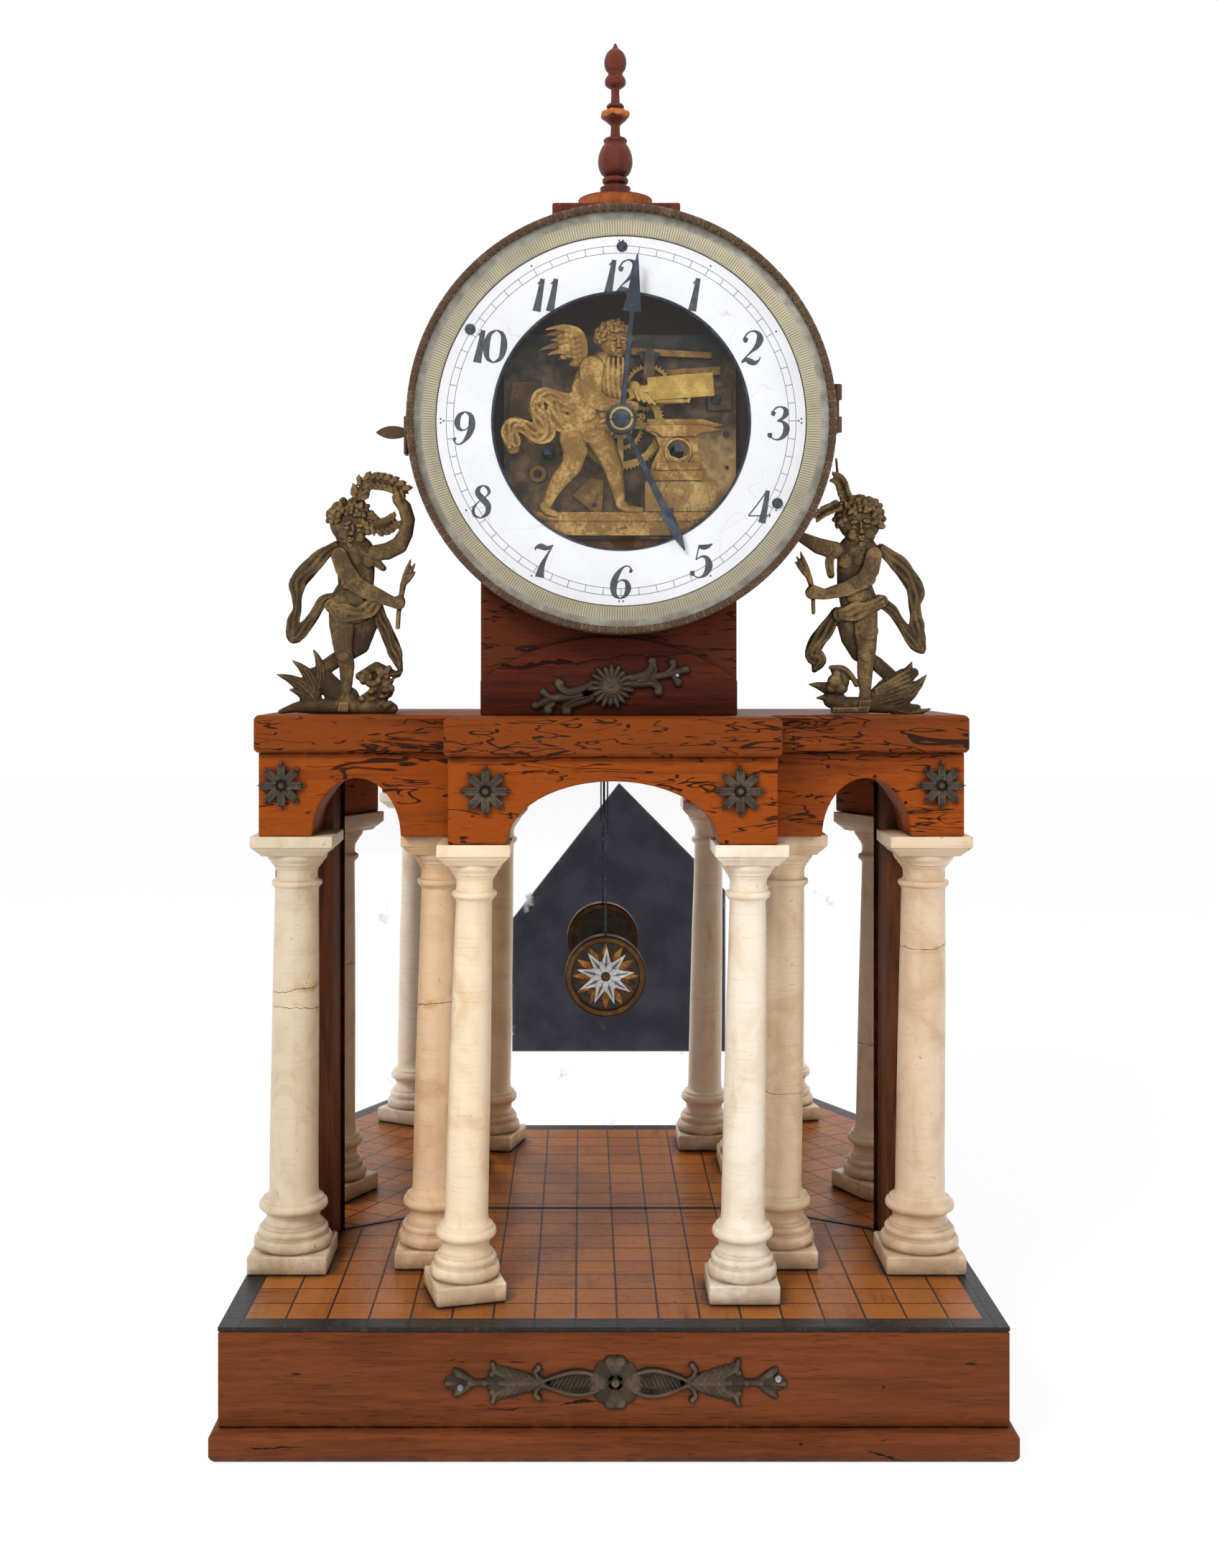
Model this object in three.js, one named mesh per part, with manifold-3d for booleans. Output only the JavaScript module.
// Portal clock with six alabaster columns, a mirrored niche and an automaton smith behind its open dial.
// Lengths are in millimetres. X runs to the viewer's right, Y into the clock, Z up.
// The origin is the middle of the underside.
import * as THREE from "three";
import { mergeVertices } from "three/addons/utils/BufferGeometryUtils.js";
import Module from "manifold-3d";

const wasm = await Module();
wasm.setup();

// Clearances and overruns that all pieces share
const seatGap = 0.3;
const overrun = 2;
const joinLap = 0.4;

// Plinth
const mouldingWidth = 319.5;
const mouldingDepth = 183;
const mouldingHeight = 12;
const mouldingRound = 2.4;
const boxWidth = 313.3;
const boxDepth = 178;
const boxHeight = 38.4;
const boxRound = 1;
const floorThickness = 1.6;

// Columns
const columnHeight = 188.4;
const frontPlinthWidth = 29.2;
const frontShaftBottom = 18.1;
const frontShaftTop = 15.1;
const innerPlinthWidth = 31;
const innerShaftBottom = 19;
const innerShaftTop = 16;
const outerPlinthWidth = 34.4;
const outerShaftBottom = 21.3;
const outerShaftTop = 19;
const plinthHeight = 8.1;
const columnBaseHeight = 32;
const capitalHeight = 23.6;
const abacusHeight = 8.2;
const abacusOverhang = 0.5;
const frontColumnX = 57;
const frontColumnY = -49.5;
const innerColumnLeftX = -75;
const innerColumnRightX = 77.7;
const innerColumnY = -7.5;
const outerColumnInset = 19.25;
const outerColumnY = -12.5;
const frontLeftLean = 4.6;
const frontLeftTurn = THREE.MathUtils.degToRad(16);
const frontRightLean = 3.1;
const innerLean = 3.5;
const outerLeftLean = 2;
const outerRightLean = 2.2;

// Entablature
const friezeHeight = 36.1;
const friezeCentreWidth = 135;
const friezeCentreFront = -64;
const friezeCentreThickness = 34;
const friezeOuterInset = 5.35;
const friezeOuterStart = 59.5;
const friezeOuterThickness = 35.5;
const centreArchSpan = 87;
const centreArchRise = 26;
const outerArchInset = 41.9;
const outerArchSpan = 38;
const outerArchRise = 25;
const corniceHeight = 16;
const corniceRound = 1.6;
const corniceFrontLip = 4;
const corniceSideLip = 1.5;
const corniceBackLip = 2;
const starRadius = 10.8;
const starThickness = 1.2;
const starBossRadius = 2.4;
const starBossHeight = 1.4;
const starInnerInset = 15.5;
const starOuterInset = 10.1;
const starDrop = 14.1;

// Niche
const postWidth = 26;
const postInset = 0.8;
const backBoardThickness = 8;
const mirrorThickness = 3;
const mirrorCentreShare = 0.4532;
const mirrorDepth = 148;
const wingAngle = THREE.MathUtils.degToRad(31);

// Pedestal
const pedestalWidth = 109.2;
const pedestalX = -1.2;
const pedestalHeight = 59;
const pedestalDepth = 64.7;
const apronThickness = 3;
const apronSideHeight = 15;
const apronCrownHeight = 33.5;

// Dial and drum
const dialX = 3.8;
const dialRise = 34.3;
const drumReveal = 3.7;
const drumWall = 6;
const drumFront = -36.2;
const drumDepth = 67.7;
const saddleWidth = 55.4;
const saddleDepth = 45;
const saddleHeight = 17.5;
const saddleX = 2.2;
const saddleY = -1.5;
const finialHeight = 70.6;
const finialBaseRadius = 16.7;

// Bezel
const bezelRadius = 89.7;
const bezelDepth = 16.5;
const bezelBand = 2.5;
const bezelLip = 4.7;
const bezelLipThickness = 2.5;
const glassBulge = 18;
const glassThickness = 1.6;
const glassPlay = 0.4;
const glassSeat = 1;
const sightThickness = 0.8;
const sightDrop = 2.4;
const hingeReach = 2.3;
const hingePinRadius = 0.9;
const knuckleRadius = 2;
const knuckleLength = 6.6;
const hingeLeafDepth = 13.5;
const hingeLeafThickness = 1.2;
const hingeLeafSetback = 2.5;
const hingeRise = 6.5;
const tabLength = 14;
const tabHeight = 9.6;
const tabThickness = 1.4;
const tabDrop = 4.1;
const tabPlateHeight = 16;
const tabPlateDepth = 7;

// Dial
const enamelMargin = 12.3;
const enamelWidth = 23.4;
const enamelFront = -45;
const enamelThickness = 2;
const dialPlateMargin = 5.2;
const dialPlateWidth = 28.5;
const dialPlateThickness = 1.5;
const dialRimWall = 1.4;
const dialFootRadius = 2.2;
const dialFootX = 46;
const dialFootTop = 35.5;
const dialFootBottom = -36;

// Movement frame, measured from the dial centre
const plateHalfWidth = 50;
const plateTop = 40;
const plateBottom = -48;
const plateTopCorner = 5;
const plateBottomCorner = 10;
const plateThickness = 2.2;
const frontPlateFront = -24;
const plateSpacing = 25.3;
const pillarRadius = 2.8;
const pillarX = 41;
const pillarTop = 31;
const pillarBottom = -40;
const pivotRadius = 0.6;
const pivotHole = 1;
const centreArborRadius = 1.1;
const centreHole = 1.5;
const fineArborRadius = 0.7;
const cockStandX = 12.6;
const cockStandZ = 31;
const cockStandRadius = 2;
const cockPlane = -33;
const cockThickness = 1.2;
const cockEndRadius = 2.6;

// Motion work
const motionDistance = 20.5;
const motionAngle = THREE.MathUtils.degToRad(54);
const hourTeeth = 72;
const minutePinionLeaves = 6;
const cannonTeeth = 36;
const hourWheelPlane = -30.2;
const cannonWheelPlane = -27.5;
const wheelThickness = 1;
const cannonPipeRadius = 2.3;
const cannonPipeBore = 1.5;
const hourPipeRadius = 3.5;
const hourPipeBore = 2.7;
const minuteArborRadius = 0.8;
const minuteHandMargin = 8.1;
const minuteHandPlane = -50.5;
const hourHandMargin = 16.4;
const hourHandPlane = -48;
const handThickness = 0.8;
const handHubRadius = 6.3;
const colletHeight = 2.2;
const minuteHandAngle = THREE.MathUtils.degToRad(5.6);
const hourHandAngle = THREE.MathUtils.degToRad(154);

// Going train
const centreTeeth = 66;
const centrePinionLeaves = 7;
const trainPinionLeaves = 6;
const thirdTeeth = 62;
const escapeTeeth = 30;
const barrelTeeth = 84;
const strikeTeeth = 70;
const centreModule = 0.455;
const thirdModule = 0.44;
const escapeRadius = 9;
const centreWheelPlane = 0.4;
const thirdWheelPlane = -2.6;
const escapeWheelPlane = -10.5;
const pinionLength = 3;
const thirdAngle = THREE.MathUtils.degToRad(150);
const goingX = 24.4;
const goingZ = -10.6;
const strikeX = -31;
const strikeZ = -11.3;
const strikeBarrelRadius = 20.3;
const barrelFront = -20.2;
const barrelLength = 16;
const greatWheelThickness = 2.4;
const barrelInset = 1.4;
const barrelArborRadius = 2.4;
const barrelBore = 2.8;
const windingFront = -40.6;
const strikeWindingFront = -36.3;
const windingSquare = 3.4;
const windingSquareLength = 9;
const ratchetRadius = 7;
const ratchetTeeth = 20;
const ratchetThickness = 1.2;

// Escapement and pendulum
const pendulumX = -5.8;
const palletDistance = 12;
const palletClearance = 1;
const palletThickness = 1.6;
const palletWidth = 1.4;
const palletAngle = THREE.MathUtils.degToRad(52);
const anchorArm = 1.8;
const crutchPlane = 1.2;
const crutchLength = 32;
const crutchWidth = 1.4;
const crutchThickness = 0.8;
const crutchHub = 2;
const forkReach = 3.9;
const rodRadius = 0.8;
const rodPlane = 2.9;
const hookRadius = 2;
const hookBore = 1.35;
const hookThickness = 1.2;
const suspensionPin = 1;
const suspensionWidth = 6;
const suspensionBar = 2.4;
const suspensionReach = 5.3;
const bobRise = 122;
const bobRadius = 18.3;
const bobThickness = 8;
const bobRim = 3;
const slotDepth = 6;
const drumSlot = 24;
const corniceSlot = 30;

// Bell
const bellX = 14;
const bellZ = 5;
const bellRadius = 26;
const bellWall = 1.2;
const bellHeight = 14;
const bellRim = 11;
const bellStudRadius = 2;
const bellHammerX = 45;
const bellHammerZ = 27;
const bellHammerHead = 3.6;
const bellHammerDrop = 22;
const bellHammerPlane = 13.5;
const bellHammerWidth = 2.2;
const bellHammerThickness = 1.4;
const bellHammerArbor = 1.2;

// Automaton, measured from the dial centre
const automatonFront = -43.4;
const cupidThickness = 6.2;
const cupidHeight = 50;
const groundFront = -40.5;
const groundThickness = 5.4;
const groundTop = -38.4;
const groundHeight = 9.4;
const groundLeft = -42;
const groundRight = 41;
const stumpLeft = 11;
const stumpRight = 40.6;
const stumpTop = -24.6;
const anvilTop = 1.4;
const anvilHornReach = 43.4;
const anvilHeelReach = 11;
const anvilWaist = 8;
const anvilFoot = 12;
const anvilHole = 4.7;
const groundPostRadius = 2.4;
const groundPostX = 20;
const pipeClearance = 0.8;
const armPivotX = 2;
const armPivotZ = 12;
const armPlane = -36.6;
const armThickness = 1.4;
const armHubRadius = 3.2;
const armPinRadius = 1.2;
const armBore = 1.6;
const hammerLength = 28;
const hammerHeight = 10;
const hammerThickness = 3.2;
const hammerX = 25.5;
const hammerZ = 15.8;
const hammerTilt = THREE.MathUtils.degToRad(4.5);
const handleWidth = 2.6;

// Mounts and figures
const figureHeight = 103.4;
const figureThickness = 8.5;
const figureY = -11.5;
const leftFigureReach = 32.5;
const rightFigureReach = 19.3;
const rightPegHeight = 1.6;
const rightPegWidth = 16;
const plinthMountLength = 137.7;
const plinthMountHeight = 19.5;
const plinthMountThickness = 1.8;
const plinthMountRise = 18.4;
const flowerBoss = 7.6;
const sunLength = 69.7;
const sunRayRadius = 9.8;
const sunThickness = 1.8;
const sunRise = 12.7;
const sunX = -0.5;
const sunTilt = THREE.MathUtils.degToRad(12.8);
const sunBoss = 4.6;

// Facets
const roundSides = 36;
const columnSides = 12;
const smallSides = 12;
const tinySides = 8;
const limbSides = 6;

// Places that follow from the sizes above
const friezeOuterEnd = boxWidth / 2 - friezeOuterInset;
const mirrorCentreWidth = boxWidth * mirrorCentreShare;
const outerColumnX = boxWidth / 2 - outerColumnInset;
const outerArchX = friezeOuterEnd - outerArchInset;
const starOuterX = friezeOuterEnd - starOuterInset;
const starInnerX = friezeCentreWidth / 2 - starInnerInset;
const boxFront = mouldingDepth / 2 - boxDepth;
const floorTop = mouldingHeight + boxHeight + floorThickness;
const friezeBottom = floorTop + columnHeight;
const corniceBottom = friezeBottom + friezeHeight;
const corniceTop = corniceBottom + corniceHeight;
const drumRadius = bezelRadius - drumReveal;
const dialHeight = corniceTop + bezelRadius + dialRise;
const saddleTop = drumRadius + saddleHeight;
const glassEdge = bezelRadius - bezelBand - glassPlay;
const enamelRadius = bezelRadius - enamelMargin;
const enamelInner = enamelRadius - enamelWidth;
const sightInner = enamelRadius + glassPlay;
const dialPlateRadius = bezelRadius - dialPlateMargin;
const dialPlateInner = dialPlateRadius - dialPlateWidth;
const minuteHandLength = enamelRadius - minuteHandMargin;
const hourHandLength = enamelRadius - hourHandMargin;
const bobHeight = floorTop + bobRise;
const leftFigureX = dialX - bezelRadius - leftFigureReach;
const rightFigureX = dialX + bezelRadius + rightFigureReach;
const sunZ = corniceTop + sunRise;
const plinthMountZ = mouldingHeight + plinthMountRise;
const friezeOuterFront = friezeCentreFront + friezeCentreThickness;
const postFront = friezeOuterFront + friezeOuterThickness;
const mirrorFace = boxFront + mirrorDepth;
const backBoardFront = mirrorFace + mirrorThickness + seatGap;
const nicheHeight = corniceBottom - floorTop;
const bezelBack = drumFront - seatGap;
const bezelFront = bezelBack - bezelDepth;
const dialPlateFront = enamelFront + enamelThickness + seatGap;
const dialPlateBack = dialPlateFront + dialPlateThickness;
const frontPlateBack = frontPlateFront + plateThickness;
const backPlateFront = frontPlateBack + plateSpacing;
const backPlateBack = backPlateFront + plateThickness;
const minuteWheelX = motionDistance * Math.cos(motionAngle);
const minuteWheelZ = motionDistance * Math.sin(motionAngle);
const hourWheelRadius = (motionDistance * hourTeeth) / (hourTeeth + minutePinionLeaves);
const minutePinionRadius = motionDistance - hourWheelRadius;
const cannonRadius = motionDistance / 2;
const centreWheelRadius = (centreModule * centreTeeth) / 2;
const thirdPinionRadius = (centreModule * trainPinionLeaves) / 2;
const thirdDistance = centreWheelRadius + thirdPinionRadius;
const thirdX = thirdDistance * Math.cos(thirdAngle);
const thirdZ = thirdDistance * Math.sin(thirdAngle);
const thirdWheelRadius = (thirdModule * thirdTeeth) / 2;
const escapePinionRadius = (thirdModule * trainPinionLeaves) / 2;
const escapeDistance = thirdWheelRadius + escapePinionRadius;
const escapeX = pendulumX;
const escapeZ = thirdZ + Math.sqrt(escapeDistance ** 2 - (escapeX - thirdX) ** 2);
const palletZ = escapeZ + palletDistance;
const goingDistance = Math.hypot(goingX, goingZ);
const greatWheelRadius = (goingDistance * barrelTeeth) / (barrelTeeth + centrePinionLeaves);
const centrePinionRadius = goingDistance - greatWheelRadius;
const greatWheelPlane = barrelFront + barrelLength - greatWheelThickness;
const rodY = backPlateBack + rodPlane;
const pivotHeight = dialHeight + palletZ;
const hingeX = bezelRadius + hingeReach;

const finishes = {
  fruitwood: { color: 0x73412d, roughness: 0.45, metalness: 0 },
  parquet: { color: 0x965528, roughness: 0.4, metalness: 0 },
  elm: { color: 0xa04b1e, roughness: 0.42, metalness: 0 },
  mahogany: { color: 0x4b1e14, roughness: 0.45, metalness: 0 },
  darkWood: { color: 0x3c2319, roughness: 0.6, metalness: 0 },
  turnedWood: { color: 0x6e372d, roughness: 0.35, metalness: 0 },
  alabaster: { color: 0xe1cdaa, roughness: 0.35, metalness: 0 },
  mirror: { color: 0xdfe3e2, roughness: 0.03, metalness: 1 },
  glass: { color: 0xf2f6f5, roughness: 0.05, metalness: 0 },
  enamel: { color: 0xebebee, roughness: 0.15, metalness: 0 },
  bronze: { color: 0x645339, roughness: 0.5, metalness: 1 },
  castBrass: { color: 0x55483c, roughness: 0.55, metalness: 1 },
  bezelBrass: { color: 0x5f4b32, roughness: 0.45, metalness: 1 },
  gilt: { color: 0xa59673, roughness: 0.4, metalness: 1 },
  brass: { color: 0x967332, roughness: 0.35, metalness: 1 },
  brightBrass: { color: 0xd2b45a, roughness: 0.25, metalness: 1 },
  steel: { color: 0x3c4146, roughness: 0.35, metalness: 1 },
  bellMetal: { color: 0x8c7850, roughness: 0.3, metalness: 1 },
};
const materials = Object.fromEntries(
  Object.entries(finishes).map(([name, look]) => [name, new THREE.MeshStandardMaterial({ ...look, name })]),
);

// Closed solids and their joins
function solid(geometry) {
  const bare = geometry.clone();
  for (const name of ["normal", "uv", "uv1"]) bare.deleteAttribute(name);
  const merged = mergeVertices(bare);
  const triVerts = new Uint32Array(merged.index.array);
  const vertProperties = merged.attributes.position.array;
  return new wasm.Manifold(new wasm.Mesh({ numProp: 3, vertProperties, triVerts }));
}

function geometryOf(body) {
  const { vertProperties, triVerts } = body.getMesh();
  const indexed = new THREE.BufferGeometry()
    .setAttribute("position", new THREE.BufferAttribute(vertProperties, 3))
    .setIndex(new THREE.BufferAttribute(triVerts, 1));
  const geometry = indexed.toNonIndexed();
  geometry.computeVertexNormals();
  return geometry;
}

function join(...geometries) {
  return geometryOf(geometries.map(solid).reduce((whole, piece) => whole.add(piece)));
}

function cut(geometry, ...tools) {
  return geometryOf(tools.map(solid).reduce((whole, tool) => whole.subtract(tool), solid(geometry)));
}

// A board with its middle at x, its front at y and its underside at z
function board(width, depth, height, x = 0, y = 0, z = 0) {
  return new THREE.BoxGeometry(width, depth, height).translate(x, y + depth / 2, z + height / 2);
}

// A cylinder along Y from one depth to another
function rod(radius, from, to, x = 0, z = 0, sides = smallSides) {
  return new THREE.CylinderGeometry(radius, radius, to - from, sides).translate(x, (from + to) / 2, z);
}

// A cylinder along Z
function post(radius, from, to, x = 0, y = 0, sides = smallSides) {
  return new THREE.CylinderGeometry(radius, radius, to - from, sides)
    .rotateX(Math.PI / 2)
    .translate(x, y, (from + to) / 2);
}

// An upright outline in X and Z, with its front at the given depth
function facing(shape, front, thickness, curveSegments = smallSides) {
  return new THREE.ExtrudeGeometry(shape, { depth: thickness, bevelEnabled: false, curveSegments })
    .rotateX(Math.PI / 2)
    .translate(0, front + thickness, 0);
}

// A level outline in X and Y with rounded edges
function slab(shape, height, round) {
  return new THREE.ExtrudeGeometry(shape, {
    depth: height - 2 * round,
    bevelThickness: round,
    bevelSize: round,
    bevelOffset: -round,
    bevelSegments: 2,
  }).translate(0, 0, round);
}

function outline(points) {
  return new THREE.Shape(points.map(([x, y]) => new THREE.Vector2(x, y)));
}

function rectangle(left, bottom, right, top) {
  return outline([
    [left, bottom],
    [right, bottom],
    [right, top],
    [left, top],
  ]);
}

function circleHole(x, y, radius) {
  return new THREE.Path().absarc(x, y, radius, 0, 2 * Math.PI, true);
}

// A piece turned about the Y axis, from a closed profile or from one that starts and ends on the axis
function ring(profile, sides = roundSides) {
  const points = profile.map(([radius, y]) => new THREE.Vector2(radius, y));
  if (THREE.ShapeUtils.area(points) < 0) points.reverse();
  if (points[0].x > 0) points.push(points[0].clone());
  return new THREE.LatheGeometry(points, sides);
}

// A piece turned about the Z axis
function turned(profile, sides) {
  return ring(profile, sides).rotateX(Math.PI / 2);
}

function mesh(name, geometry, finish, x = 0, y = 0, z = 0) {
  const piece = new THREE.Mesh(geometry, materials[finish]);
  piece.name = name;
  piece.position.set(x, y, z);
  return piece;
}

// Wheels. The tooth sizes are shares of the module, their widths shares of the pitch.
const addendumShare = 0.85;
const dedendumShare = 1.15;
const wheelToothShares = [0.32, 0];
const leafShares = [0.19, 0.09];

function gearOutline(count, radius, phase, [rootShare, tipShare]) {
  const module = (2 * radius) / count;
  const pitch = (2 * Math.PI) / count;
  const root = radius - dedendumShare * module;
  const tip = radius + addendumShare * module;
  const points = [];
  for (let i = 0; i < count; i += 1) {
    const middle = phase + i * pitch;
    const tips = [-tipShare, tipShare].slice(tipShare > 0 ? 0 : 1).map((at) => [at, tip]);
    for (const [at, reach] of [[-rootShare, root], ...tips, [rootShare, root]]) {
      const angle = middle + at * pitch;
      points.push([reach * Math.cos(angle), reach * Math.sin(angle)]);
    }
  }
  return outline(points);
}

function crossings(shape, inner, outer, arms, armWidth) {
  for (let i = 0; i < arms; i += 1) {
    const start = (2 * Math.PI * i) / arms;
    const end = (2 * Math.PI * (i + 1)) / arms;
    const window = new THREE.Path();
    const outerMargin = armWidth / 2 / outer;
    const innerMargin = armWidth / 2 / inner;
    window.absarc(0, 0, outer, start + outerMargin, end - outerMargin, false);
    window.absarc(0, 0, inner, end - innerMargin, start + innerMargin, true);
    window.closePath();
    shape.holes.push(window);
  }
  return shape;
}

const crossingSteps = 2;
const crossingInnerShare = 0.3;
const crossingOuterShare = 0.82;
const crossingArmShare = 0.14;

function wheel(count, radius, plane, phase, bore = 0, thickness = wheelThickness) {
  const shape = gearOutline(count, radius, phase, wheelToothShares);
  crossings(shape, crossingInnerShare * radius, crossingOuterShare * radius, 4, crossingArmShare * radius);
  if (bore > 0) shape.holes.push(circleHole(0, 0, bore));
  return facing(shape, plane, thickness, crossingSteps);
}

function pinion(count, radius, plane, phase, length = pinionLength) {
  return facing(gearOutline(count, radius, phase, leafShares), plane, length);
}

// The phase that puts a gap on the line of centres, seen from the driven wheel
function meshPhase(angle, count) {
  return angle + Math.PI + Math.PI / count;
}

// An arbor between the plates with a thinner pivot through each of them
function arbor(radius) {
  return join(
    rod(radius, frontPlateBack + seatGap, backPlateFront - seatGap, 0, 0, tinySides),
    rod(pivotRadius, frontPlateFront, backPlateBack, 0, 0, tinySides),
  );
}

// Figures are made of bent, tapered limbs. Each knot is x, z and radius in shares of the figure's height.
function limb(knots, scale) {
  const places = knots.map(([x, z]) => new THREE.Vector2(x, z).multiplyScalar(scale));
  const ways = places.map((place, i) => {
    const before = places[i - 1] ?? place;
    return (places[i + 1] ?? place).clone().sub(before).normalize();
  });
  const radii = knots.map(([, , radius]) => radius * scale);
  const first = places[0].clone().addScaledVector(ways[0], -radii[0]);
  const last = places.at(-1).clone().addScaledVector(ways.at(-1), radii.at(-1));
  const middles = [first, ...places, last];
  const directions = [ways[0], ...ways, ways.at(-1)];
  const tube = new THREE.LatheGeometry([0, ...radii, 0].map((r, i) => new THREE.Vector2(r, i)), limbSides);
  const spots = tube.attributes.position;
  for (let i = 0; i < spots.count; i += 1) {
    const knot = Math.round(spots.getY(i));
    const side = spots.getX(i);
    const { x, y } = directions[knot];
    spots.setXYZ(i, middles[knot].x - y * side, spots.getZ(i), middles[knot].y + x * side);
  }
  return tube;
}

// Limbs joined into one relief of the given thickness, with its middle at depth zero
function relief(chains, scale, thickness, ...extra) {
  const joined = join(...chains.map((knots) => limb(knots, scale)), ...extra);
  joined.computeBoundingBox();
  const { min, max } = joined.boundingBox;
  return joined.scale(1, thickness / (max.y - min.y), 1);
}

// Plinth: a moulding, a box and a parquet floor
function addPlinth(clock) {
  const half = mouldingWidth / 2;
  const foot = rectangle(-half, -mouldingDepth / 2, half, mouldingDepth / 2);
  clock.add(mesh("base_moulding", slab(foot, mouldingHeight, mouldingRound), "fruitwood"));
  const box = rectangle(-boxWidth / 2, boxFront, boxWidth / 2, boxFront + boxDepth);
  clock.add(mesh("base_box", slab(box, boxHeight, boxRound), "fruitwood", 0, 0, mouldingHeight));
  const floor = board(boxWidth, boxDepth, floorThickness);
  clock.add(mesh("floor_board", floor, "parquet", 0, boxFront, floorTop - floorThickness));
}

// Column turnings: radius in shares of half the plinth's width, height in shares of the base or the capital
const columnBaseShares = [
  [0.97, 0],
  [0.97, 0.16],
  [0.8, 0.25],
  [0.74, 0.42],
  [0.88, 0.5],
  [0.88, 0.66],
  [0.72, 0.78],
  [0.76, 0.9],
];
const columnCapitalShares = [
  [0.62, 0.06],
  [0.7, 0.14],
  [0.6, 0.24],
  [0.58, 0.5],
  [0.72, 0.58],
  [0.76, 0.78],
  [0.97, 1],
];

function columnGeometry(plinthWidth, bottomDiameter, topDiameter, plinthTurn) {
  const half = plinthWidth / 2;
  const turningBase = columnBaseHeight - plinthHeight;
  const turningTop = columnHeight - abacusHeight;
  const turningCapital = capitalHeight - abacusHeight;
  const profile = [
    [0, plinthHeight - joinLap],
    [columnBaseShares[0][0] * half, plinthHeight - joinLap],
    ...columnBaseShares.slice(1).map(([r, z]) => [r * half, plinthHeight + z * turningBase]),
    [bottomDiameter / 2, columnBaseHeight],
    [topDiameter / 2, columnHeight - capitalHeight],
    ...columnCapitalShares.map(([r, z]) => [r * half, turningTop - (1 - z) * turningCapital]),
    [columnCapitalShares.at(-1)[0] * half, turningTop + joinLap],
    [0, turningTop + joinLap],
  ];
  const abacusWidth = plinthWidth + 2 * abacusOverhang;
  return join(
    board(plinthWidth, plinthWidth, plinthHeight, 0, -half).rotateZ(plinthTurn),
    turned(profile, columnSides),
    board(abacusWidth, abacusWidth, abacusHeight, 0, -abacusWidth / 2, turningTop),
  );
}

// The columns have settled sideways, so each leans a little while its ends stay level.
function leaning(geometry, lean) {
  const shear = new THREE.Matrix4().makeShear(0, 0, 0, 0, 0, 0);
  shear.elements[8] = lean / columnHeight;
  return geometry.applyMatrix4(shear).translate(-lean, 0, 0);
}

function addColumns(clock) {
  const front = [frontPlinthWidth, frontShaftBottom, frontShaftTop];
  const inner = [innerPlinthWidth, innerShaftBottom, innerShaftTop];
  const outer = [outerPlinthWidth, outerShaftBottom, outerShaftTop];
  for (const [name, sizes, x, y, lean, plinthTurn = 0] of [
    ["column_front_left", front, -frontColumnX, frontColumnY, frontLeftLean, frontLeftTurn],
    ["column_front_right", front, frontColumnX, frontColumnY, frontRightLean],
    ["column_inner_left", inner, innerColumnLeftX, innerColumnY, innerLean],
    ["column_inner_right", inner, innerColumnRightX, innerColumnY, innerLean],
    ["column_outer_left", outer, -outerColumnX, outerColumnY, outerLeftLean],
    ["column_outer_right", outer, outerColumnX, outerColumnY, outerRightLean],
  ]) {
    clock.add(mesh(name, leaning(columnGeometry(...sizes, plinthTurn), lean), "alabaster", x, y, floorTop));
  }
}

// Entablature: three arched boards under a stepped cornice
function archedBoard(left, right, archX, span, rise) {
  const shape = outline([
    [left, 0],
    [archX - span / 2, 0],
  ]);
  shape.absellipse(archX, 0, span / 2, rise, Math.PI, 0, true);
  shape.lineTo(right, 0);
  shape.lineTo(right, friezeHeight);
  shape.lineTo(left, friezeHeight);
  shape.closePath();
  return shape;
}

function petals(count, radius, notchShare, sideShare, sideTurnShare) {
  const points = [];
  const pitch = (2 * Math.PI) / count;
  for (let i = 0; i < count; i += 1) {
    for (const [turn, share] of [
      [-0.5, notchShare],
      [-sideTurnShare, sideShare],
      [0, 1],
      [sideTurnShare, sideShare],
    ]) {
      const angle = Math.PI / 2 + (i + turn) * pitch;
      points.push([share * radius * Math.cos(angle), share * radius * Math.sin(angle)]);
    }
  }
  return outline(points);
}

const starNotchShare = 0.3;
const petalSideShare = 0.66;
const petalTurnShare = 0.19;

// A rosette of eight petals with a domed boss, its back at depth zero
function star() {
  const leaves = petals(8, starRadius, starNotchShare, petalSideShare, petalTurnShare);
  const front = -starThickness - starBossHeight;
  const boss = ring(
    [
      [0, front],
      [starBossRadius, -starThickness],
      [starBossRadius, -starThickness / 2],
      [0, -starThickness / 2],
    ],
    tinySides,
  );
  return join(facing(leaves, -starThickness, starThickness), boss);
}

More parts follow.
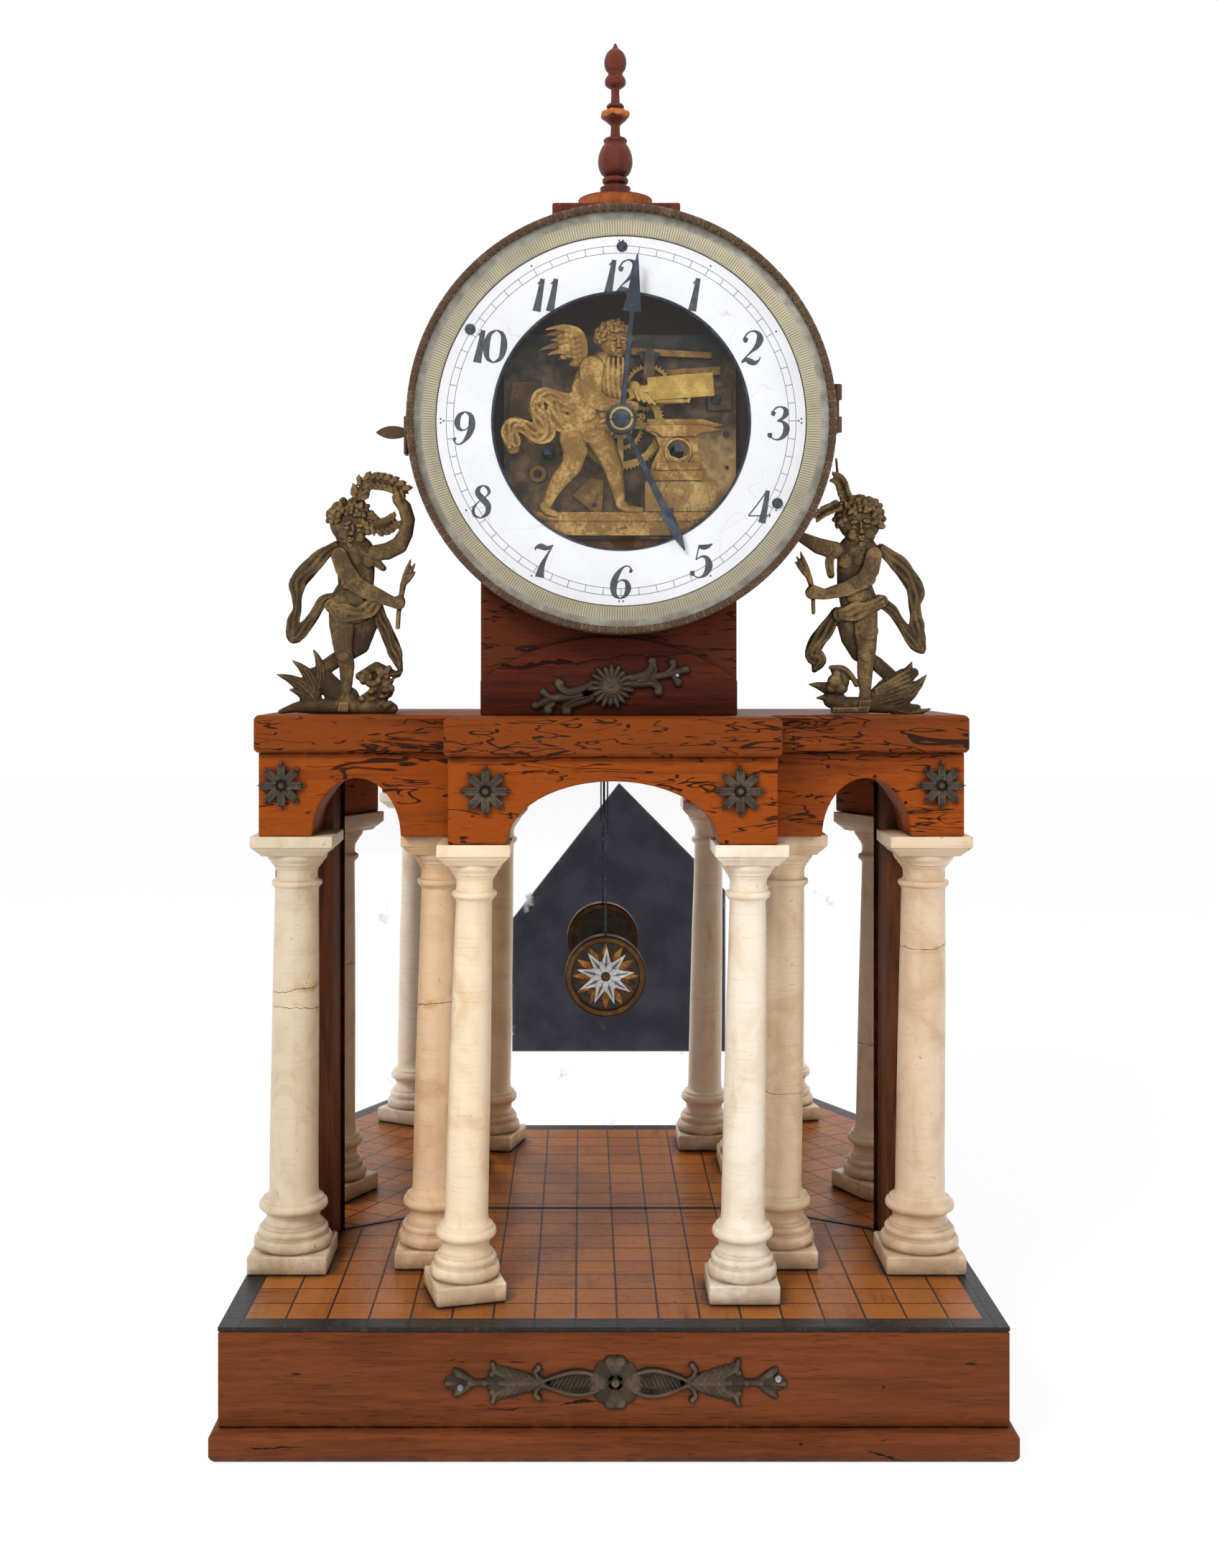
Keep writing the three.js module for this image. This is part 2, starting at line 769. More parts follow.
function addEntablature(clock) {
  const centreHalf = friezeCentreWidth / 2;
  const centre = archedBoard(-centreHalf, centreHalf, 0, centreArchSpan, centreArchRise);
  const centreBoard = facing(centre, friezeCentreFront, friezeCentreThickness);
  clock.add(mesh("frieze_centre", centreBoard, "elm", 0, 0, friezeBottom));
  for (const [name, side] of [
    ["frieze_left", -1],
    ["frieze_right", 1],
  ]) {
    const ends = [side * friezeOuterStart, side * friezeOuterEnd].sort((a, b) => a - b);
    const shape = archedBoard(...ends, side * outerArchX, outerArchSpan, outerArchRise);
    const outerBoard = facing(shape, friezeOuterFront, friezeOuterThickness);
    clock.add(mesh(name, outerBoard, "elm", 0, 0, friezeBottom));
  }
  const centreX = centreHalf + corniceSideLip;
  const outerX = friezeOuterEnd + corniceSideLip;
  const centreY = friezeCentreFront - corniceFrontLip;
  const outerY = friezeOuterFront - corniceFrontLip;
  const backY = backBoardFront + backBoardThickness + corniceBackLip;
  const plan = outline([
    [-centreX, centreY],
    [centreX, centreY],
    [centreX, outerY],
    [outerX, outerY],
    [outerX, backY],
    [-outerX, backY],
    [-outerX, outerY],
    [-centreX, outerY],
  ]);
  const slotX = dialX + pendulumX;
  const slot = board(corniceSlot, slotDepth, corniceHeight + 2 * overrun, slotX, rodY - slotDepth / 2, -overrun);
  const cornice = cut(slab(plan, corniceHeight, corniceRound), slot);
  clock.add(mesh("cornice_board", cornice, "elm", 0, 0, corniceBottom));
  const starZ = corniceBottom - starDrop;
  for (const [name, x, y] of [
    ["star_outer_left", -starOuterX, friezeOuterFront],
    ["star_inner_left", -starInnerX, friezeCentreFront],
    ["star_inner_right", starInnerX, friezeCentreFront],
    ["star_outer_right", starOuterX, friezeOuterFront],
  ]) {
    clock.add(mesh(name, star(), "castBrass", x, y, starZ));
  }
}

// Niche: two posts, a back board and three mirrors
function addNiche(clock) {
  const postEnd = friezeOuterEnd - postInset;
  const postX = postEnd - postWidth / 2;
  const postDepth = backBoardFront - postFront;
  for (const [name, side] of [
    ["side_wall_left", -1],
    ["side_wall_right", 1],
  ]) {
    const wall = board(postWidth, postDepth, nicheHeight, side * postX);
    clock.add(mesh(name, wall, "darkWood", 0, postFront, floorTop));
  }
  const back = board(2 * postEnd, backBoardThickness, nicheHeight);
  clock.add(mesh("back_board", back, "darkWood", 0, backBoardFront, floorTop));
  const paneHeight = nicheHeight - 2 * seatGap;
  const pane = board(mirrorCentreWidth - 2 * seatGap, mirrorThickness, paneHeight);
  clock.add(mesh("mirror_centre", pane, "mirror", 0, mirrorFace, floorTop + seatGap));
  const wingReach = postEnd - postWidth - mirrorCentreWidth / 2;
  const wingLength = (wingReach - seatGap) / Math.cos(wingAngle) - mirrorThickness * Math.tan(wingAngle);
  for (const [name, side] of [
    ["mirror_left", -1],
    ["mirror_right", 1],
  ]) {
    const wing = board(wingLength, mirrorThickness, paneHeight, (side * wingLength) / 2);
    const piece = mesh(name, wing, "mirror", (side * mirrorCentreWidth) / 2, mirrorFace, floorTop + seatGap);
    piece.rotation.z = -side * wingAngle;
    clock.add(piece);
  }
}

// Pedestal with its arched apron, and the saddle and finial on the drum
function addPedestal(clock) {
  const front = drumFront + apronThickness;
  const seat = rod(drumRadius + seatGap, front - overrun, front + pedestalDepth + overrun, 0, 0, roundSides);
  seat.translate(dialX - pedestalX, 0, dialHeight - corniceTop);
  const slotX = dialX + pendulumX - pedestalX;
  const slot = board(corniceSlot, slotDepth, pedestalHeight + 2 * overrun, slotX, rodY - slotDepth / 2, -overrun);
  const block = cut(board(pedestalWidth, pedestalDepth, pedestalHeight, 0, front), seat, slot);
  clock.add(mesh("pedestal_block", block, "elm", pedestalX, 0, corniceTop));
  const half = pedestalWidth / 2;
  const apron = outline([
    [-half, 0],
    [half, 0],
    [half, apronSideHeight],
  ]);
  apron.quadraticCurveTo(half * apronCurveShare, apronCrownHeight, 0, apronCrownHeight);
  apron.quadraticCurveTo(-half * apronCurveShare, apronCrownHeight, -half, apronSideHeight);
  clock.add(mesh("apron_board", facing(apron, drumFront, apronThickness), "mahogany", pedestalX, 0, corniceTop));
}

const apronCurveShare = 0.55;

// Finial turning: radius in shares of its base radius, height in shares of its height
const finialShares = [
  [1, 0],
  [0.94, 0.02],
  [0.72, 0.05],
  [0.4, 0.07],
  [0.4, 0.105],
  [0.335, 0.11],
  [0.335, 0.15],
  [0.2, 0.155],
  [0.2, 0.175],
  [0.37, 0.2],
  [0.45, 0.255],
  [0.43, 0.31],
  [0.305, 0.37],
  [0.305, 0.405],
  [0.14, 0.415],
  [0.14, 0.5],
  [0.31, 0.54],
  [0.38, 0.565],
  [0.38, 0.615],
  [0.14, 0.64],
  [0.14, 0.735],
  [0.28, 0.76],
  [0.28, 0.795],
  [0.21, 0.81],
  [0.21, 0.835],
  [0.29, 0.87],
  [0.27, 0.93],
  [0.06, 0.975],
  [0.04, 1],
];

function addCrown(clock) {
  const top = dialHeight + saddleTop;
  const seat = rod(drumRadius + seatGap, saddleY - saddleDepth, saddleY + saddleDepth, 0, 0, roundSides);
  seat.translate(dialX - saddleX, 0, dialHeight - top);
  const height = saddleTop - drumRadius * saddleFootShare;
  const block = board(saddleWidth, saddleDepth, height, 0, saddleY - saddleDepth / 2, -height);
  clock.add(mesh("saddle_block", cut(block, seat), "turnedWood", saddleX, 0, top));
  const profile = finialShares.map(([r, z]) => [r * finialBaseRadius, z * finialHeight]);
  const finial = turned([[0, 0], ...profile, [0, finialHeight]], columnSides);
  clock.add(mesh("finial", finial, "turnedWood", saddleX, saddleY, top));
}

const saddleFootShare = 0.955;

// Drum and dial
function addDrum(dial) {
  const inner = drumRadius - drumWall;
  const back = drumFront + drumDepth;
  const shell = ring([
    [inner, drumFront],
    [drumRadius, drumFront],
    [drumRadius, back],
    [inner, back],
  ]);
  const slot = board(drumSlot, slotDepth, drumRadius, pendulumX, rodY - slotDepth / 2, -drumRadius - overrun);
  dial.add(mesh("drum_case", cut(shell, slot), "darkWood"));
  const rimBack = drumFront - seatGap;
  const plate = ring([
    [dialPlateInner, dialPlateFront],
    [dialPlateRadius, dialPlateFront],
    [dialPlateRadius, rimBack],
    [dialPlateRadius - dialRimWall, rimBack],
    [dialPlateRadius - dialRimWall, dialPlateBack],
    [dialPlateInner, dialPlateBack],
  ]);
  const feet = [dialFootTop, dialFootBottom].flatMap((z) =>
    [-dialFootX, dialFootX].map((x) =>
      rod(dialFootRadius, dialPlateBack - joinLap, frontPlateFront - seatGap, x, z, tinySides),
    ),
  );
  dial.add(mesh("dial_plate", join(plate, ...feet), "brass"));
  const enamel = ring([
    [enamelInner, enamelFront],
    [enamelRadius, enamelFront],
    [enamelRadius, enamelFront + enamelThickness],
    [enamelInner, enamelFront + enamelThickness],
  ]);
  dial.add(mesh("dial_enamel", enamel, "enamel"));
}

// Points of a glass dome from its middle to its edge
function domePoints(radius, bulge, edgeY, steps) {
  const sphere = (radius ** 2 + bulge ** 2) / (2 * bulge);
  return Array.from({ length: steps + 1 }, (_, i) => {
    const r = (radius * i) / steps;
    return [r, edgeY + sphere - bulge - Math.sqrt(sphere ** 2 - r ** 2)];
  });
}

const domeSteps = 4;

function addBezel(dial) {
  const bezel = new THREE.Group();
  const inner = bezelRadius - bezelBand;
  const lipBack = bezelFront + bezelLipThickness;
  const band = ring([
    [bezelRadius - bezelLip, bezelFront + bezelLipThickness / 2],
    [bezelRadius - bezelLip / 2, bezelFront],
    [bezelRadius, bezelFront + bezelLipThickness / 2],
    [bezelRadius, bezelBack],
    [inner, bezelBack],
    [inner, lipBack],
    [bezelRadius - bezelLip, lipBack],
  ]);
  const knuckle = post(knuckleRadius, -knuckleLength / 2, knuckleLength / 2, hingeX, bezelBack);
  const knuckleArm = board(knuckleRadius, knuckleRadius * 2, knuckleLength, hingeX - knuckleRadius / 2);
  knuckleArm.translate(0, bezelBack - knuckleRadius * 2, -knuckleLength / 2);
  const lug = board(hingeReach + bezelBand, knuckleRadius * 2, knuckleLength, bezelRadius + hingeReach / 2 - bezelBand / 2);
  lug.translate(0, bezelBack - knuckleRadius * 3, -knuckleLength / 2);
  const bore = post(hingePinRadius + seatGap, -knuckleLength, knuckleLength, hingeX, bezelBack);
  const eye = cut(join(knuckle, knuckleArm, lug).translate(0, 0, hingeRise), bore.translate(0, 0, hingeRise));
  bezel.add(mesh("bezel_ring", join(band, eye), "bezelBrass"));
  const edgeY = lipBack + glassSeat;
  const outerDome = domePoints(glassEdge, glassBulge, edgeY, domeSteps);
  const innerDome = outerDome.map(([r, y]) => [r, y + glassThickness]).reverse();
  bezel.add(mesh("bezel_glass", ring([...outerDome, ...innerDome]), "glass"));
  const sightY = edgeY + glassThickness + seatGap;
  const sight = ring([
    [sightInner, sightY + sightDrop],
    [glassEdge, sightY],
    [glassEdge, sightY + sightThickness],
    [sightInner, sightY + sightDrop + sightThickness],
  ]);
  bezel.add(mesh("sight_ring", sight, "gilt"));
  bezel.add(mesh("thumb_tab", thumbTab(), "bezelBrass", -bezelRadius, bezelBack, -tabDrop));
  dial.add(bezel);
}

const tabTipShare = 0.25;
const tabWidestShare = 0.6;

function thumbTab() {
  const half = tabHeight / 2;
  const leaf = outline([[-seatGap, -half * tabTipShare]]);
  leaf.quadraticCurveTo(-tabLength * tabWidestShare, -half, -tabLength, 0);
  leaf.quadraticCurveTo(-tabLength * tabWidestShare, half, -seatGap, half * tabTipShare);
  leaf.closePath();
  const leafPlate = facing(leaf, -tabPlateDepth / 2, tabThickness);
  const plate = board(tabThickness, tabPlateDepth, tabPlateHeight, -seatGap - tabThickness / 2);
  return join(leafPlate, plate.translate(0, -tabPlateDepth, -tabPlateHeight * tabWidestShare));
}

// The fixed half of the hinge: a leaf on the drum, two knuckles and the pin through all three
function addHinge(dial) {
  const length = 3 * knuckleLength + 2 * seatGap;
  const bottom = hingeRise - length / 2;
  const leafX = drumRadius + seatGap + hingeLeafThickness / 2;
  const leafFront = drumFront + hingeLeafSetback;
  const leaf = board(hingeLeafThickness, hingeLeafDepth, length, leafX, leafFront, bottom);
  const webWidth = hingeX - leafX;
  const pieces = [leaf, post(hingePinRadius, bottom, bottom + length, hingeX, bezelBack, tinySides)];
  for (const z of [bottom, bottom + length - knuckleLength]) {
    pieces.push(post(knuckleRadius, z, z + knuckleLength, hingeX, bezelBack));
    const web = board(webWidth, knuckleRadius, knuckleLength, leafX + webWidth / 2, 0, z);
    pieces.push(web.translate(0, leafFront, 0));
    const neckDepth = leafFront + knuckleRadius - bezelBack;
    pieces.push(board(knuckleRadius, neckDepth, knuckleLength, hingeX, bezelBack, z));
  }
  dial.add(mesh("hinge_leaf", join(...pieces), "bezelBrass"));
}

// Movement frame: two plates, the front one with its riveted pillars and the minute wheel's cock
function plateShape() {
  return outline([
    [-plateHalfWidth + plateBottomCorner, plateBottom],
    [plateHalfWidth - plateBottomCorner, plateBottom],
    [plateHalfWidth, plateBottom + plateBottomCorner],
    [plateHalfWidth, plateTop - plateTopCorner],
    [plateHalfWidth - plateTopCorner, plateTop],
    [-plateHalfWidth + plateTopCorner, plateTop],
    [-plateHalfWidth, plateTop - plateTopCorner],
    [-plateHalfWidth, plateBottom + plateBottomCorner],
  ]);
}

function pivotHoles(radius) {
  return [
    [thirdX, thirdZ],
    [escapeX, escapeZ],
    [pendulumX, palletZ],
  ].map(([x, z]) => circleHole(x, z, radius));
}

function addPlates(dial) {
  const bore = barrelArborRadius + 2 * seatGap;
  const barrelHoles = [circleHole(goingX, goingZ, bore), circleHole(strikeX, strikeZ, bore)];
  const frontShape = plateShape();
  frontShape.holes.push(circleHole(0, 0, centreHole), ...pivotHoles(pivotHole), ...barrelHoles);
  frontShape.holes.push(circleHole(minuteWheelX, minuteWheelZ, pivotHole));
  const pillars = [pillarTop, pillarBottom].flatMap((z) =>
    [-pillarX, pillarX].map((x) =>
      rod(pillarRadius, frontPlateBack - joinLap, backPlateFront - seatGap, x, z, tinySides),
    ),
  );
  const cockShape = outline([
    [cockStandX - cockStandRadius, cockStandZ],
    [minuteWheelX - cockEndRadius, minuteWheelZ],
    [minuteWheelX, minuteWheelZ - cockEndRadius],
    [minuteWheelX + cockEndRadius, minuteWheelZ],
    [cockStandX + cockStandRadius, cockStandZ],
    [cockStandX, cockStandZ + cockStandRadius],
  ]);
  cockShape.holes.push(circleHole(minuteWheelX, minuteWheelZ, pivotHole));
  const cock = facing(cockShape, cockPlane, cockThickness, 4);
  const stand = rod(cockStandRadius, cockPlane, frontPlateFront + joinLap, cockStandX, cockStandZ, tinySides);
  const front = join(facing(frontShape, frontPlateFront, plateThickness, 4), ...pillars, cock, stand);
  dial.add(mesh("movement_front_plate", front, "brass"));

  const backShape = plateShape();
  backShape.holes.push(circleHole(0, 0, pivotHole), ...pivotHoles(pivotHole));
  backShape.holes.push(...[circleHole(goingX, goingZ, bore), circleHole(strikeX, strikeZ, bore)]);
  backShape.holes.push(circleHole(bellHammerX, bellHammerZ, bellHammerArbor + seatGap + joinLap));
  const barZ = plateTop - suspensionBar;
  const reach = suspensionReach + suspensionBar;
  const bar = board(suspensionWidth, reach + joinLap, suspensionBar, pendulumX, backPlateBack - joinLap, barZ);
  const dropHeight = barZ + suspensionBar - palletZ + hookRadius;
  const dropY = backPlateBack + suspensionReach;
  const drop = board(suspensionWidth, suspensionBar, dropHeight, pendulumX, dropY, palletZ - hookRadius);
  const pinFront = rodY - hookThickness;
  const pin = rod(suspensionPin, pinFront, dropY + joinLap, pendulumX, palletZ, tinySides);
  const stud = rod(bellStudRadius, backPlateBack - joinLap, bellRim + bellHeight - bellWall - seatGap, bellX, bellZ, tinySides);
  const back = join(facing(backShape, backPlateFront, plateThickness, 4), bar, drop, pin, stud);
  dial.add(mesh("movement_back_plate", back, "brass"));
}

// Motion work: cannon wheel, minute wheel and hour wheel, and the two hands they carry
const handNeckShare = 0.03;
const handShoulderShare = 0.64;
const handBarbShare = 0.068;
const handTaperShare = 0.022;
const hourShoulderShare = 0.7;

function handShape(length, hub, shoulderShare, bore) {
  const neck = length * handNeckShare;
  const taper = length * handTaperShare;
  const barb = (length * handBarbShare) / 2;
  const shoulder = length * shoulderShare;
  const shape = outline([
    [taper, shoulder],
    [barb, shoulder],
    [0, length],
    [-barb, shoulder],
    [-taper, shoulder],
    [-neck, hub * Math.SQRT1_2],
  ]);
  shape.absarc(0, 0, hub, (3 * Math.PI) / 4, (9 * Math.PI) / 4, false);
  shape.lineTo(neck, hub * Math.SQRT1_2);
  shape.closePath();
  shape.holes.push(circleHole(0, 0, bore));
  return shape;
}

function addMotionWork(dial) {
  const cannon = join(
    wheel(cannonTeeth, cannonRadius, cannonWheelPlane, motionAngle),
    rod(cannonPipeRadius, minuteHandPlane, cannonWheelPlane + wheelThickness),
    rod(crossingInnerShare * cannonRadius, cannonWheelPlane, cannonWheelPlane + wheelThickness),
  );
  const cannonBore = rod(cannonPipeBore, minuteHandPlane - overrun, frontPlateFront, 0, 0, smallSides);
  dial.add(mesh("cannon_wheel", cut(cannon, cannonBore), "brass"));
  const minuteHand = facing(
    handShape(minuteHandLength, handHubRadius * hubShare, handShoulderShare, cannonPipeRadius + seatGap),
    minuteHandPlane,
    handThickness,
    handSteps,
  );
  const colletFront = minuteHandPlane - colletHeight;
  const collet = ring(
    [
      [0, colletFront],
      [handHubRadius * colletTipShare, colletFront],
      [handHubRadius, minuteHandPlane - handThickness],
      [handHubRadius, minuteHandPlane + joinLap],
      [cannonPipeRadius + seatGap, minuteHandPlane + joinLap],
      [cannonPipeRadius + seatGap, minuteHandPlane - seatGap],
      [0, minuteHandPlane - seatGap],
    ],
    columnSides,
  );
  const minutePiece = mesh("minute_hand", join(minuteHand, collet), "steel");
  minutePiece.rotation.y = minuteHandAngle;
  dial.add(minutePiece);

  const hourWheel = join(
    wheel(hourTeeth, hourWheelRadius, hourWheelPlane, motionAngle),
    rod(hourPipeRadius, hourHandPlane, hourWheelPlane + wheelThickness),
    rod(crossingInnerShare * hourWheelRadius, hourWheelPlane, hourWheelPlane + wheelThickness),
  );
  const hourBore = rod(hourPipeBore, hourHandPlane - overrun, hourWheelPlane + wheelThickness + overrun);
  dial.add(mesh("hour_wheel", cut(hourWheel, hourBore), "brass"));
  const hourShape = handShape(hourHandLength, handHubRadius, hourShoulderShare, hourPipeRadius + seatGap);
  const hourPiece = mesh("hour_hand", facing(hourShape, hourHandPlane, handThickness, handSteps), "steel");
  hourPiece.rotation.y = hourHandAngle;
  dial.add(hourPiece);

  const pinionFront = hourWheelPlane - wheelThickness;
  const minuteWheel = join(
    wheel(cannonTeeth, cannonRadius, cannonWheelPlane, meshPhase(motionAngle, cannonTeeth)),
    pinion(
      minutePinionLeaves,
      minutePinionRadius,
      pinionFront,
      meshPhase(motionAngle, minutePinionLeaves),
      cannonWheelPlane - pinionFront + joinLap,
    ),
    rod(minuteArborRadius, cockPlane + cockThickness + seatGap, frontPlateFront - seatGap, 0, 0, tinySides),
    rod(pivotRadius, cockPlane, frontPlateBack, 0, 0, tinySides),
  );
  dial.add(mesh("minute_wheel", minuteWheel, "brass", minuteWheelX, 0, minuteWheelZ));
}

const handSteps = 6;
const hubShare = 0.8;
const colletTipShare = 0.45;

// Going train: barrel, centre wheel, third wheel and escape wheel
const goingAngle = Math.atan2(goingZ, goingX);
const escapeAngle = Math.atan2(escapeZ - thirdZ, escapeX - thirdX);

function barrel(count, radius, phase) {
  const shape = gearOutline(count, radius, phase, wheelToothShares);
  const body = rod(radius - barrelInset, barrelFront, greatWheelPlane + joinLap, 0, 0, smallSides * 2);
  const bore = rod(barrelBore, barrelFront - overrun, greatWheelPlane + greatWheelThickness + overrun);
  return cut(join(body, facing(shape, greatWheelPlane, greatWheelThickness)), bore);
}

function ratchetShape() {
  const points = [];
  const pitch = (2 * Math.PI) / ratchetTeeth;
  for (let i = 0; i < ratchetTeeth; i += 1) {
    points.push([ratchetRadius * Math.cos(i * pitch), ratchetRadius * Math.sin(i * pitch)]);
    const root = ratchetRadius * ratchetRootShare;
    points.push([root * Math.cos(i * pitch), root * Math.sin(i * pitch)]);
  }
  return outline(points.reverse());
}

const ratchetRootShare = 0.86;

function windingArbor(front) {
  const squareEnd = front + windingSquareLength;
  const ratchetPlane = backPlateBack + seatGap;
  return join(
    board(windingSquare, windingSquareLength + joinLap, windingSquare, 0, front, -windingSquare / 2),
    rod(barrelArborRadius, squareEnd, ratchetPlane + ratchetThickness, 0, 0, smallSides),
    facing(ratchetShape(), ratchetPlane, ratchetThickness),
  );
}

function escapeWheelShape() {
  const points = [];
  const pitch = (2 * Math.PI) / escapeTeeth;
  for (let i = 0; i < escapeTeeth; i += 1) {
    for (const [turn, share] of escapeToothShares) {
      const angle = (i + turn) * pitch;
      points.push([share * escapeRadius * Math.cos(angle), share * escapeRadius * Math.sin(angle)]);
    }
  }
  return crossings(
    outline(points),
    escapeRadius * crossingInnerShare,
    escapeRadius * escapeRimShare,
    4,
    escapeRadius * crossingArmShare,
  );
}

const escapeToothShares = [
  [0, 0.84],
  [0.35, 0.84],
  [0.75, 1],
];
const escapeRimShare = 0.72;

function addGoingTrain(dial) {
  const centre = join(
    wheel(centreTeeth, centreWheelRadius, centreWheelPlane, thirdAngle),
    rod(crossingInnerShare * centreWheelRadius, centreWheelPlane, centreWheelPlane + wheelThickness),
    pinion(centrePinionLeaves, centrePinionRadius, greatWheelPlane - seatGap, goingAngle + Math.PI / centrePinionLeaves),
    rod(centreArborRadius, minuteHandPlane + seatGap, backPlateFront - seatGap, 0, 0, tinySides),
    rod(pivotRadius, backPlateFront - pinionLength, backPlateBack, 0, 0, tinySides),
  );
  dial.add(mesh("centre_wheel", centre, "brass"));
  const third = join(
    wheel(thirdTeeth, thirdWheelRadius, thirdWheelPlane, escapeAngle),
    rod(crossingInnerShare * thirdWheelRadius, thirdWheelPlane, thirdWheelPlane + wheelThickness),
    pinion(
      trainPinionLeaves,
      thirdPinionRadius,
      centreWheelPlane - wheelThickness,
      meshPhase(thirdAngle, trainPinionLeaves),
    ),
    arbor(fineArborRadius),
  );
  dial.add(mesh("third_wheel", third, "brass", thirdX, 0, thirdZ));
  const escape = join(
    facing(escapeWheelShape(), escapeWheelPlane, wheelThickness, crossingSteps),
    rod(crossingInnerShare * escapeRadius, escapeWheelPlane, escapeWheelPlane + wheelThickness, 0, 0, tinySides),
    pinion(
      trainPinionLeaves,
      escapePinionRadius,
      thirdWheelPlane - wheelThickness,
      meshPhase(escapeAngle, trainPinionLeaves),
    ),
    arbor(fineArborRadius),
  );
  dial.add(mesh("escape_wheel", escape, "brass", escapeX, 0, escapeZ));
  const goingPhase = goingAngle + Math.PI;
  dial.add(mesh("going_barrel", barrel(barrelTeeth, greatWheelRadius, goingPhase), "brass", goingX, 0, goingZ));
  dial.add(mesh("strike_barrel", barrel(strikeTeeth, strikeBarrelRadius, 0), "brass", strikeX, 0, strikeZ));
  dial.add(mesh("going_arbor", windingArbor(windingFront), "steel", goingX, 0, goingZ));
  dial.add(mesh("strike_arbor", windingArbor(strikeWindingFront), "steel", strikeX, 0, strikeZ));
}

// Escapement: an anchor with its crutch behind the back plate, and the pendulum that the crutch guides
function addEscapement(clock, dial) {
  const tipRadius = escapeRadius + palletClearance;
  const tipX = tipRadius * Math.sin(palletAngle);
  const tipZ = tipRadius * Math.cos(palletAngle) - palletDistance;
  const arch = outline([
    [-tipX - palletWidth, tipZ],
    [-tipX, tipZ],
    [-tipX + anchorArm, tipZ + anchorArm * 2],
    [0, -anchorArm],
    [tipX - anchorArm, tipZ + anchorArm * 2],
    [tipX, tipZ],
    [tipX + palletWidth, tipZ],
    [tipX, tipZ + anchorArm * 3],
    [0, anchorArm],
    [-tipX, tipZ + anchorArm * 3],
  ]);
  const crutchY = backPlateBack + crutchPlane - crutchThickness;
  const forkGap = rodRadius + seatGap;
  const fork = [-1, 1].map((side) =>
    board(
      crutchThickness,
      forkReach,
      crutchWidth * 2,
      side * (forkGap + crutchThickness / 2),
      crutchY,
      -crutchLength,
    ),
  );
  const anchor = join(
    facing(arch, escapeWheelPlane - (palletThickness - wheelThickness) / 2, palletThickness),
    arbor(pivotRadius + joinLap),
    rod(pivotRadius, backPlateFront, crutchY + crutchThickness, 0, 0, tinySides),
    rod(crutchHub, crutchY, crutchY + crutchThickness),
    board(crutchWidth, crutchThickness, crutchLength, 0, crutchY, -crutchLength),
    board(2 * (forkGap + crutchThickness), crutchThickness, crutchWidth * 2, 0, crutchY, -crutchLength),
    ...fork,
  );
  dial.add(mesh("anchor", anchor, "steel", pendulumX, 0, palletZ));

  const drop = pivotHeight - bobHeight;
  const hook = cut(
    rod(hookRadius, -hookThickness / 2, hookThickness / 2),
    rod(hookBore, -overrun, overrun, 0, 0, smallSides),
  );
  const half = bobThickness / 2;
  const bob = ring(
    [
      [0, -half],
      [bobRadius - bobRim, -half * bobRimShare],
      [bobRadius, -half * bobEdgeShare],
      [bobRadius, half * bobEdgeShare],
      [bobRadius - bobRim, half * bobRimShare],
      [0, half],
    ],
    roundSides / 2,
  );
  const thread = post(rodRadius, -drop, -hookRadius + joinLap, 0, 0, tinySides);
  const pendulum = join(hook, thread, bob.translate(0, 0, -drop));
  clock.add(mesh("pendulum", pendulum, "bronze", dialX + pendulumX, rodY, pivotHeight));
}

const bobRimShare = 0.85;
const bobEdgeShare = 0.45;

// Bell on the back plate with its hammer
function addBell(dial) {
  const crown = bellRim + bellHeight;
  const outer = bellShares.map(([r, y]) => [bellRadius * r, bellRim + bellHeight * y]);
  const inner = bellShares.map(([r, y]) => [bellRadius * r - bellWall, bellRim + (bellHeight - bellWall) * y]);
  inner.push([0, crown - bellWall]);
  dial.add(mesh("bell", ring([[0, crown], ...outer.reverse(), ...inner]), "bellMetal", bellX, 0, bellZ));
  const arm = board(bellHammerWidth, bellHammerThickness, bellHammerDrop, 0, bellHammerPlane, -bellHammerDrop);
  const hammer = join(
    arm,
    rod(bellHammerHead, bellHammerPlane - bellHammerHead / 2, bellHammerPlane + bellHammerHead, 0, -bellHammerDrop),
    rod(bellHammerArbor, backPlateFront - seatGap, bellHammerPlane + bellHammerThickness),
  );
  dial.add(mesh("bell_hammer", hammer, "steel", bellHammerX, 0, bellHammerZ));
}

const bellShares = [
  [1, 0],
  [0.97, 0.35],
  [0.86, 0.68],
  [0.6, 0.92],
];

// Automaton smith. Knots are x, z and radius in shares of the automaton's unit.
const cupidHeadShares = [
  [-0.06, 0.69, 0.13],
  [-0.055, 0.76, 0.135],
];
const cupidTorsoShares = [
  [-0.06, 0.58, 0.07],
  [-0.15, 0.42, 0.17],
  [-0.25, 0.17, 0.15],
  [-0.3, -0.03, 0.16],
];
const cupidLimbShares = [
  [
    [-0.265, 0.46, 0.085],
    [-0.205, 0.17, 0.076],
    [0.1, 0.1, 0.06],
  ],
  [
    [-0.02, 0.45, 0.08],
    [0.12, 0.2, 0.07],
    [0.44, 0.11, 0.05],
    [0.56, 0.12, 0.035],
  ],
  [
    [-0.38, -0.06, 0.13],
    [-0.45, -0.36, 0.1],
    [-0.65, -0.68, 0.055],
    [-0.56, -0.72, 0.035],
  ],
  [
    [-0.2, -0.1, 0.13],
    [-0.07, -0.4, 0.1],
    [-0.01, -0.68, 0.055],
    [0.13, -0.72, 0.035],
  ],
];
